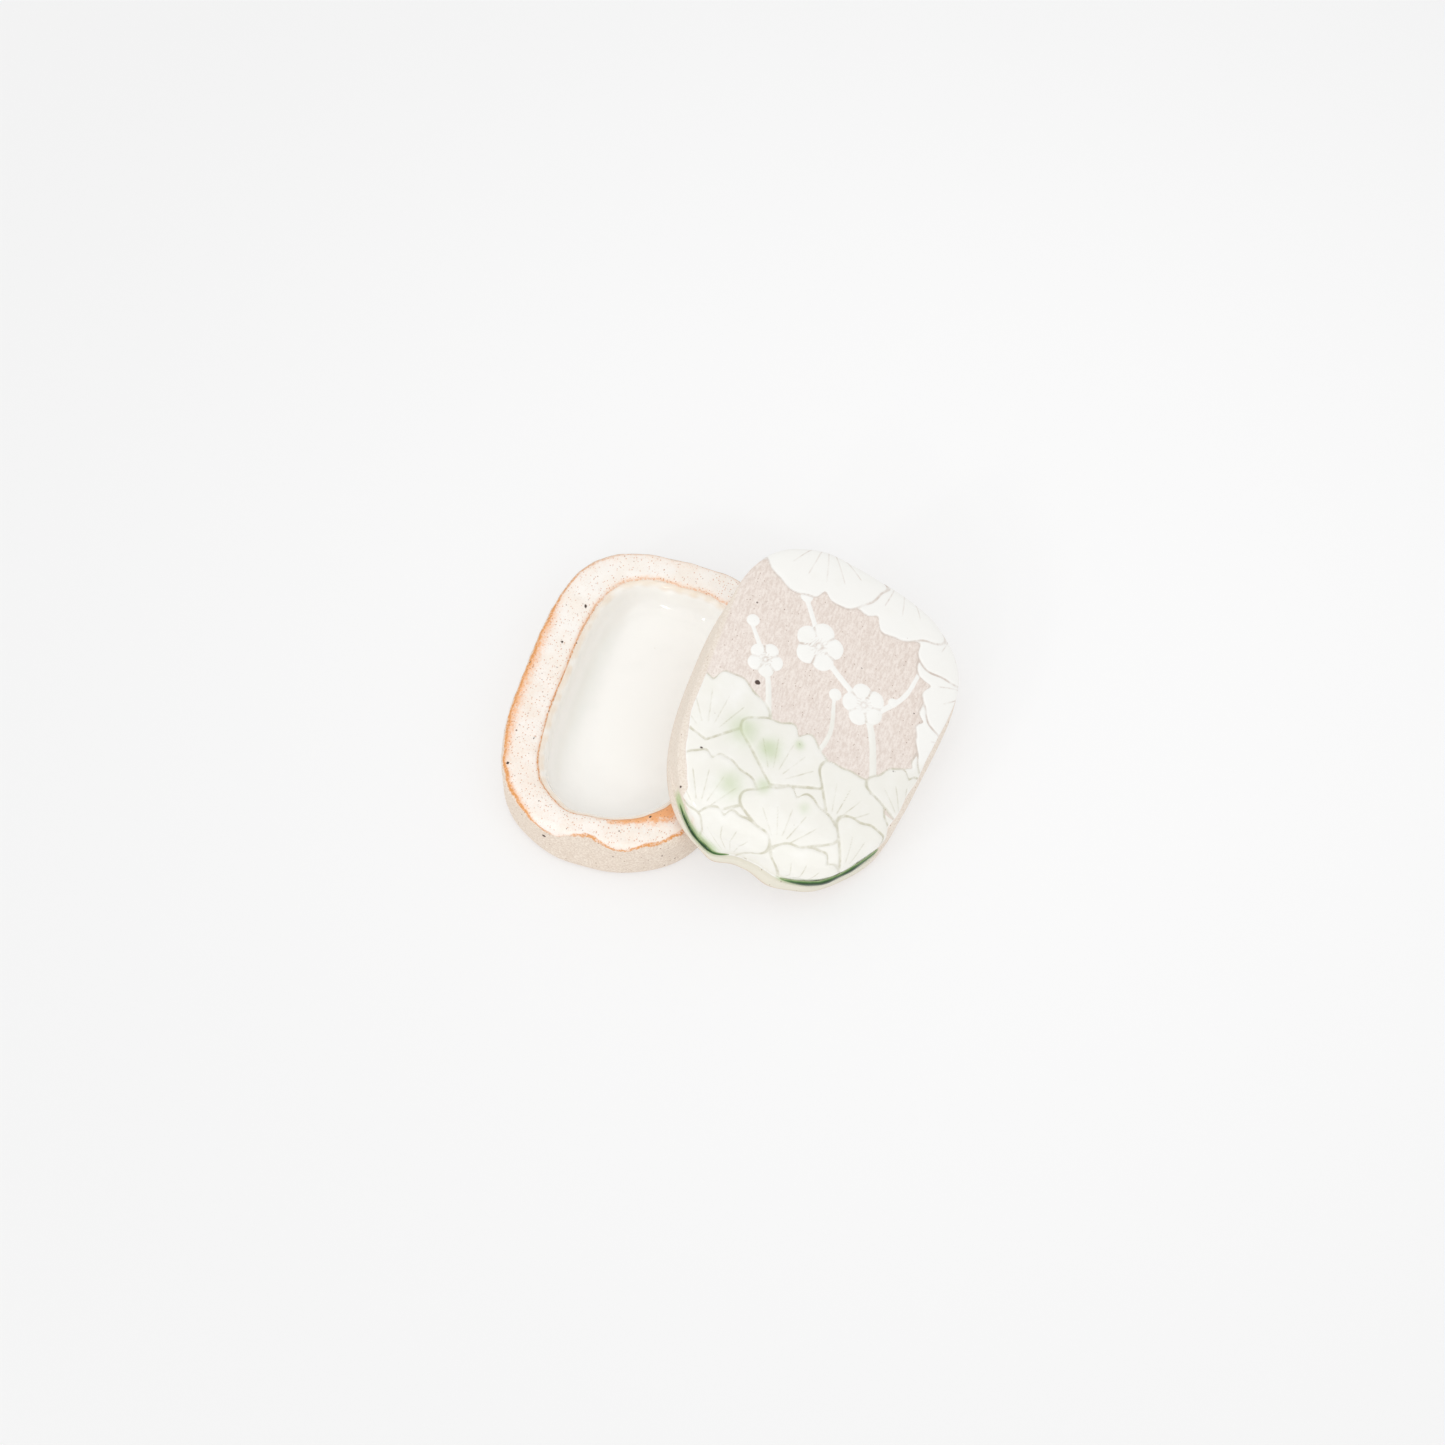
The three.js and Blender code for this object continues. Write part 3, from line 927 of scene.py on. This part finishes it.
def make_base_clay(sizes, colours):
    """The base: a loft over foot, wall, rim and well, with where its finishes begin and end."""
    rows, edge_row, mouth_row = base_rows(sizes.well_depth / MM)
    piece = loft_piece("base_clay", rows, "base", "stoneware", "base_body")
    length = arc_lengths(rows)
    edge = length - length[edge_row]
    mouth = length[mouth_row] - length + 0.10 * wavy(rows, 1.1, 15) + 0.09 * wavy(rows, 3.0, 16)
    turn = np.arctan2(rows[..., 1], rows[..., 0])
    reach = SLIP_REACH + sum(far * bell(turn, middle, spread) for middle, spread, far in SLIP_TONGUES)
    slip = edge + reach + 0.14 * wavy(rows, 1.6, 11)
    rise = rows[..., 2]
    gap = 1 - window(turn, -101, -96.5, 3)
    fields = {
        "slip": slip,
        "flash": flashing(rows, turn, slip, mouth),
        "mouth": mouth,
        "lip": mix(0.4, 1.0, window(turn, 165, 330, 50)),
        "brink": window(turn, 150, 305, 60) * gap,
        # foot: a brown line along the bottom of the outer wall, partly the clay's own colour and partly
        # painted shade at the chamfer by the table.
        "foot": 0.7 * np.exp(-(((rise - 0.25) / 0.3) ** 2)) * (mouth > 9),
        "spot": base_spots(rows, turn, edge),
    }
    for name, values in fields.items():
        add_field(piece, name, with_poles(values))
    uneven = wavy(rows, 7.0, 3) * 0.10 + wavy(rows, 2.2, 4) * 0.035
    height = uneven * smooth(0.2, 2.5, rise) - 0.05
    height = height + 0.06 * (smooth(-0.2, 0.3, slip) - 1) * smooth(-3, -1, mouth)
    push_out(piece, with_poles(height * smooth(0.0, 0.6, rise)))
    piece.data.materials.append(base_clay_finish(colours))


def make_base_lining(sizes, colours):
    """The glaze of the well, which thins out just below the mouth."""
    angle = even_angles(LINING_COLUMNS, WELL_POWER)
    top = BASE_TOP
    depth = sizes.well_depth / MM
    brim = [BASE_WELL.row(angle, 0.42, top - 1.0), BASE_WELL.row(angle, 0.12, top - 0.74)]
    face = curve_through(raised(hollow_rows(BASE_WELL, angle, depth, 0), top) + brim, 0.3)[0]
    brim = [BASE_WELL.row(angle, 0.1, top - 1.0), BASE_WELL.row(angle, 0.0, top - 0.82)]
    back = raised(hollow_rows(BASE_WELL, angle, depth, COAT_THICK), top) + brim
    rows = np.concatenate([curve_through(back, 0.6)[0], face[::-1]])
    piece = loft_piece("well_lining", rows, "base", "well_glaze", "base_well_glaze")
    level = top - rows[..., 2]
    thin = 1 - smooth(0.2, 2.8, level + 0.3 * wavy(rows, 2.0, 21))
    corner = smooth(0.45 * depth, 0.95 * depth, level) * smooth(7, 16, np.abs(rows[..., 0]) + 2)
    add_field(piece, "thin", with_poles(thin))
    add_field(piece, "pooled", with_poles(corner))
    push_out(piece, with_poles(wavy(rows, 4.0, 22) * 0.03 * smooth(0.5, 2.0, level)))
    piece.data.materials.append(lining_finish(colours, "well_glaze"))


def make_lid_lining(sizes, colours):
    """The glaze inside the lid's hollow, on its hidden side."""
    angle = even_angles(LINING_COLUMNS, WELL_POWER)
    hollow = sizes.lid_hollow / MM
    face, back = (
        curve_through(flipped(hollow_rows(WELL, angle, hollow, into_clay)), 0.5)[0]
        for into_clay in (0, COAT_THICK)
    )
    rows = np.concatenate([face, back[::-1]])
    piece = loft_piece("lid_lining", on_lid(rows), "lid", "well_glaze", "lid_hollow_glaze")
    level = rows[..., 2]
    add_field(piece, "thin", with_poles(1 - smooth(1.4, 2.6, level)))
    add_field(piece, "pooled", with_poles(smooth(0.6 * hollow, 0.95 * hollow, level)))
    piece.data.materials.append(lining_finish(colours, "hollow_glaze"))


def green_tints(local, angle, way):
    """How green the clear glaze is: soft spots on the relief, and a hem above the two pools."""
    green = np.zeros(way.shape)
    for x, y, spread, strength in GREEN_TINTS:
        far = np.hypot(local[..., 0] - x, local[..., 1] - y)
        green = np.maximum(green, strength * np.exp(-((far / spread) ** 2)))
    rise = (way - GREEN_HEM) / (LEDGE_SHARE - GREEN_HEM)
    left = window(angle, -128, -102, 9) * smooth(-0.2, 0.9, rise) * 1.5
    right = window(angle, -76, -24, 6) * smooth(0.45, 1, rise) * 1.1
    hem = np.maximum(left, right) * (1 - smooth(LEDGE_SHARE, BAND_SHARE, way))
    return np.maximum(green, hem)


def lid_spots(local):
    """The distance beyond the edge of the nearest iron spot of the lid, a little oval each."""
    spot = np.full(local.shape[:-1], 1.0)
    for x, y, radius in LID_SPOTS:
        far = np.hypot(local[..., 0] - x, (local[..., 1] - y) * 1.25)
        spot = np.minimum(spot, far - radius + 0.1 * wavy(local, 0.8, 33))
    return spot


def lid_fields(angle, way, local):
    """The relief and the finish of the lid's outer surface, as named fields and a height."""
    u, v = unrolled(angle, way)
    relief = Relief(u, v)
    draw_relief(relief)
    near_end = window(angle, -117, -28, 8)
    skirt = mix(SKIRT_SIDE, SKIRT_FAR, window(angle, 36, 145, 36))
    skirt = mix(skirt, SKIRT_NEAR, window(angle, -119, -26, 9))
    skirt = skirt + 0.010 * wavy(local, 5.0, 31) * (1 - near_end)
    within = (skirt - way) * SKIN_LENGTH
    keep = smooth(-0.3, 0.3, within)
    heap = HEAP_EDGE + 2.0 * wavy(local, 9.0, 36) - v
    white = np.maximum(np.minimum(relief.inside, within), np.minimum(heap, within))
    coat = smooth(6, -5, v + 3.0 * wavy(local, 9.0, 32))
    groove = 0.05 * (1 - smooth(0.08, 0.40, relief.line)) * smooth(-0.5, 0.0, white)
    height = (relief.height - groove) * keep * (1 - smooth(0.87, 0.91, way))
    fields = {
        "band": near_end * smooth(0.90, 0.94, way),
        "white": white,
        "line": np.where(keep > 0.5, relief.line, NO_LINE),
        "coat": coat * smooth(-0.4, 0.8, np.maximum(within, white)),
        "green": green_tints(local, angle, way),
        "spot": lid_spots(local),
        "flank": smooth(-0.4, 0.9, -within) * (1 - near_end * smooth(0.9, 0.93, way)),
    }
    return fields, height


def make_lid_clay(sizes, colours):
    """The lid: a grid over crown, wall and band, closed by rows over the foot into the hollow."""
    angle, way = lid_grid()
    grid = lid_point(angle, way)
    fields, height = lid_fields(angle, way, grid)
    lines, columns = way.shape
    numbers = np.arange(lines * columns).reshape(lines, columns)
    corners = [numbers[:-1, :-1], numbers[:-1, 1:], numbers[1:, 1:], numbers[1:, :-1]]
    quads = np.stack(corners, axis=-1).reshape(-1, 4)
    ring = np.concatenate([numbers[0, :-1], numbers[:-1, -1], numbers[-1, :0:-1], numbers[:0:-1, 0]])
    turn = angle.ravel()[ring]
    hollow = sizes.lid_hollow / MM
    control = [
        lid_point(turn, np.ones_like(turn)),
        wall_point(turn, np.full(turn.shape, 0.3), np.full(turn.shape, 0.25)),
        wall_point(turn, np.zeros(turn.shape), np.full(turn.shape, 0.9)),
        WELL.row(turn, -1.2, 0),
        WELL.row(turn, -0.4, 0.15),
        WELL.row(turn, 0.15, 0.8),
        *reversed(flipped(hollow_rows(WELL, turn, hollow, GLAZE_THICK))),
    ]
    under = curve_through(control, 1.0, 2)[0][1:]
    points = np.concatenate([grid.reshape(-1, 3), under.reshape(-1, 3), under[-1:].mean(axis=1)])
    count = len(ring)
    first = lines * columns
    there = np.roll(np.arange(count), -1)
    seam = np.stack([ring, np.arange(count) + first, there + first, ring[there]], axis=-1)
    inner = skin_faces(len(under), count, first)[:, ::-1]
    last = first + (len(under) - 1) * count
    triangles = fan_faces(np.arange(last, last + count), len(points) - 1, False)
    quads = np.concatenate([quads, seam, inner])
    piece = new_piece("lid_clay", on_lid(points), quads, triangles, "lid", "stoneware", "lid_body")
    rest = len(points) - first
    under_lid = {"white": -NO_LINE, "line": NO_LINE, "spot": 1.0, "flank": 1.0}
    for name, values in fields.items():
        hidden = np.full(rest, under_lid.get(name, 0.0))
        add_field(piece, name, np.concatenate([values.ravel(), hidden]))
    foot = np.exp(-(((points[:, 2] - 0.3) / 0.6) ** 2))
    add_field(piece, "foot", foot * np.where(np.arange(len(points)) < first + 3 * count, 0.75, 0.0))
    uneven = wavy(grid, 8.0, 34) * 0.08 + wavy(grid, 2.6, 35) * 0.015
    height = np.concatenate([(height + uneven - 0.06).ravel(), np.zeros(rest)])
    fade = np.concatenate([(1 - smooth(0.86, 0.97, way)).ravel(), np.zeros(rest)])
    push_out(piece, height * fade)
    piece.data.materials.append(lid_finish(colours))


def make_pool(name, colours):
    """A pool of glaze in the ledge's corner: a bulging section swept along it, tapered at both ends."""
    start, end, width, height, swelling = POOLS[name]
    steps, across = 160, 14
    share = np.linspace(0, 1, steps + 2)[1:-1]
    angle = np.radians(mix(start, end, share))
    size = np.sqrt(np.sin(math.pi * share)) * (1 + 0.12 * wavy(share[:, None] * [[1.0, 0, 0]], 0.12, 41))
    corner = upper_wall_point(angle, np.zeros(steps), 0.0)
    outwards = corner[:, :2] / np.linalg.norm(corner[:, :2], axis=1)[:, None]
    outwards = np.concatenate([outwards, np.zeros((steps, 1))], axis=1)
    wall_height = shoulder_height(angle) - corner[:, 2]
    upper = upper_wall_point(angle, height * size / wall_height, 0.0)
    edge = corner + outwards * (width * size)[:, None]
    turn = np.linspace(0, 1, across)[:, None, None]
    swell = outwards * 0.82 + np.array([0, 0, 0.57])
    bulge = np.sin(math.pi * turn) ** 0.7 * swell * (swelling * size)[:, None]
    face = mix(upper, edge, turn) + bulge
    back = corner - swell * 0.15
    section = np.concatenate([face, back[None]]).transpose(1, 0, 2)
    plain_name = name.replace("lid_glaze", "green")
    piece = loft_piece(plain_name, on_lid(section), "lid", "green_glaze", name)
    depth = np.sin(math.pi * np.linspace(0, 1, across + 1))[None, :] * size[:, None]
    add_field(piece, "depth", with_poles(depth))
    piece.data.materials.append(pool_finish(colours))


def aim(thing, target):
    """Turns a lamp or camera towards a point."""
    thing.rotation_mode = "QUATERNION"
    thing.rotation_quaternion = (target - thing.location).to_track_quat("-Z", "Y")


def soft_lamp(name, towards, size, energy):
    """A square lamp that shines on the box from a direction."""
    lamp = bpy.data.objects.new(name, bpy.data.lights.new(name, "AREA"))
    bpy.context.scene.collection.objects.link(lamp)
    lamp.data.energy = energy
    lamp.data.size = size
    lamp.location = VIEW_TARGET + Vector(towards).normalized() * LAMP_DISTANCE
    aim(lamp, VIEW_TARGET)


def make_stage(colours):
    """A pale glowing floor, an even studio light with soft lamps above the box, and the camera."""
    bpy.ops.mesh.primitive_plane_add(size=8)
    floor = bpy.context.object
    floor.name = "floor"
    table = Finish("white_table", Roughness=0.9, Specular_IOR_Level=0.1, Emission_Strength=0.49)
    table.feed(table.shader.inputs["Base Color"], (0.47, 0.47, 0.47, 1.0))
    # The floor's glow is painted light. It lightens the shadows on the floor, and its colour paints a
    # pool of light that is brightest round BRIGHTEST and dims further out.
    ends = {0: table.places, 1: BRIGHTEST}
    away_from_brightest = table.node("ShaderNodeVectorMath", {"operation": "DISTANCE"}, ends, 1)
    glow = table.blend(away_from_brightest.step(0.03, 0.25), colours.table, tone(240, 240, 240))
    table.paint(Emission_Color=glow)
    floor.data.materials.append(table.material)
    camera = bpy.data.objects.new("camera", bpy.data.cameras.new("camera"))
    bpy.context.scene.collection.objects.link(camera)
    flat = math.cos(VIEW_RISE)
    back = (math.sin(VIEW_TURN) * flat, -math.cos(VIEW_TURN) * flat, math.sin(VIEW_RISE))
    camera.location = VIEW_TARGET + Vector(back) * VIEW_DISTANCE
    aim(camera, VIEW_TARGET)
    camera.data.angle = FIELD
    bpy.context.scene.camera = camera
    world = bpy.data.worlds.new("studio")
    world.use_nodes = True
    sky = world.node_tree.nodes["Background"]
    sky.inputs["Color"].default_value = (1, 1, 1, 1)
    sky.inputs["Strength"].default_value = 0.80
    bpy.context.scene.world = world
    soft_lamp("top_light", (-0.1, 0.1, 1.0), 1.4, 2.3)
    soft_lamp("left_light", (-0.45, -0.75, 0.70), 1.2, 2.2)
    soft_lamp("right_light", (0.65, -0.60, 0.80), 1.2, 2.4)
    soft_lamp("left_spark", (-0.10, -0.80, 0.45), 0.11, 0.8)
    soft_lamp("right_spark", (-0.50, -0.80, 0.48), 0.14, 1.4)
    bpy.context.scene.view_settings.view_transform = "Standard"


def length_property(name, description, default):
    """A length that a user can change, in metres."""
    return FloatProperty(name=name, description=description, default=default, unit="LENGTH", precision=5)


def colour_property(name, description, default):
    """A colour that a user can change."""
    return FloatVectorProperty(
        name=name, description=description, default=default, subtype="COLOR", min=0, max=1
    )


class CeramicSizes(bpy.types.PropertyGroup):
    """Sizes of the box."""

    well_depth: length_property("Well Depth", "From the rim to the glazed floor of the base", 7.6 * MM)
    lid_hollow: length_property("Lid Hollow", "Depth of the hollow under the lid", 7.4 * MM)


class CeramicColours(bpy.types.PropertyGroup):
    """Colours of the clays and glazes."""

    clay: colour_property("Clay", "Bare stoneware", tone(243, 231, 217))
    slip: colour_property("Slip", "Cream slip on the rim", tone(253, 249, 243))
    flash: colour_property("Flash", "Orange flashing at the edges", tone(247, 177, 115))
    iron: colour_property("Iron", "Iron spots", tone(66, 42, 30))
    glaze: colour_property("Glaze", "Clear glaze over white", tone(254, 253, 249))
    ground: colour_property("Ground", "Scraped clay between the motifs", tone(244, 234, 226))
    leaf: colour_property("Motifs", "White slip on the raised motifs", tone(250, 249, 245))
    green: colour_property("Green", "Green glaze", tone(84, 128, 66))
    table: colour_property("Table", "The floor under the box", tone(254, 254, 254))


class CERAMIC_OT_base_clay(bpy.types.Operator):
    """Makes the clay of the base"""

    bl_idname = "ceramic.base_clay"
    bl_label = "Base Clay"

    def execute(self, context):
        make_base_clay(context.scene.ceramic_sizes, context.scene.ceramic_colours)
        return {"FINISHED"}


class CERAMIC_OT_base_lining(bpy.types.Operator):
    """Makes the glaze of the base's well"""

    bl_idname = "ceramic.base_lining"
    bl_label = "Well Glaze"

    def execute(self, context):
        make_base_lining(context.scene.ceramic_sizes, context.scene.ceramic_colours)
        return {"FINISHED"}


class CERAMIC_OT_lid_clay(bpy.types.Operator):
    """Makes the lid with its relief"""

    bl_idname = "ceramic.lid_clay"
    bl_label = "Lid"

    def execute(self, context):
        make_lid_clay(context.scene.ceramic_sizes, context.scene.ceramic_colours)
        return {"FINISHED"}


class CERAMIC_OT_lid_lining(bpy.types.Operator):
    """Makes the glaze inside the lid"""

    bl_idname = "ceramic.lid_lining"
    bl_label = "Lid Glaze"

    def execute(self, context):
        make_lid_lining(context.scene.ceramic_sizes, context.scene.ceramic_colours)
        return {"FINISHED"}


class CERAMIC_OT_glaze_pools(bpy.types.Operator):
    """Makes the two green pools of glaze on the lid's ledge"""

    bl_idname = "ceramic.glaze_pools"
    bl_label = "Glaze Pools"

    def execute(self, context):
        for name in POOLS:
            make_pool(name, context.scene.ceramic_colours)
        return {"FINISHED"}


class CERAMIC_OT_stage(bpy.types.Operator):
    """Makes the floor, the light and the camera"""

    bl_idname = "ceramic.stage"
    bl_label = "Stage"

    def execute(self, context):
        make_stage(context.scene.ceramic_colours)
        return {"FINISHED"}


OPERATORS = (
    CERAMIC_OT_base_clay,
    CERAMIC_OT_base_lining,
    CERAMIC_OT_lid_clay,
    CERAMIC_OT_lid_lining,
    CERAMIC_OT_glaze_pools,
    CERAMIC_OT_stage,
)


class CERAMIC_PT_box(bpy.types.Panel):
    """Lists the pieces of the box"""

    bl_label = "Ceramic Box"
    bl_idname = "CERAMIC_PT_box"
    bl_space_type = "VIEW_3D"
    bl_region_type = "UI"
    bl_category = "Ceramic Box"

    def draw(self, context):
        for group in (context.scene.ceramic_sizes, context.scene.ceramic_colours):
            for name in group.bl_rna.properties.keys():
                if name not in ("name", "rna_type"):
                    self.layout.prop(group, name)
        for operator in OPERATORS:
            self.layout.operator(operator.bl_idname)


CLASSES = (CeramicSizes, CeramicColours, *OPERATORS, CERAMIC_PT_box)


def register():
    """Adds the classes and the scene's sizes and colours."""
    for made in CLASSES:
        bpy.utils.register_class(made)
    bpy.types.Scene.ceramic_sizes = PointerProperty(type=CeramicSizes)
    bpy.types.Scene.ceramic_colours = PointerProperty(type=CeramicColours)


def unregister():
    """Takes them away again."""
    del bpy.types.Scene.ceramic_colours
    del bpy.types.Scene.ceramic_sizes
    for made in reversed(CLASSES):
        bpy.utils.unregister_class(made)


def main():
    """Makes the whole box and its stage."""
    register()
    bpy.ops.ceramic.base_clay()
    bpy.ops.ceramic.base_lining()
    bpy.ops.ceramic.lid_clay()
    bpy.ops.ceramic.lid_lining()
    bpy.ops.ceramic.glaze_pools()
    bpy.ops.ceramic.stage()


if __name__ == "__main__":
    main()
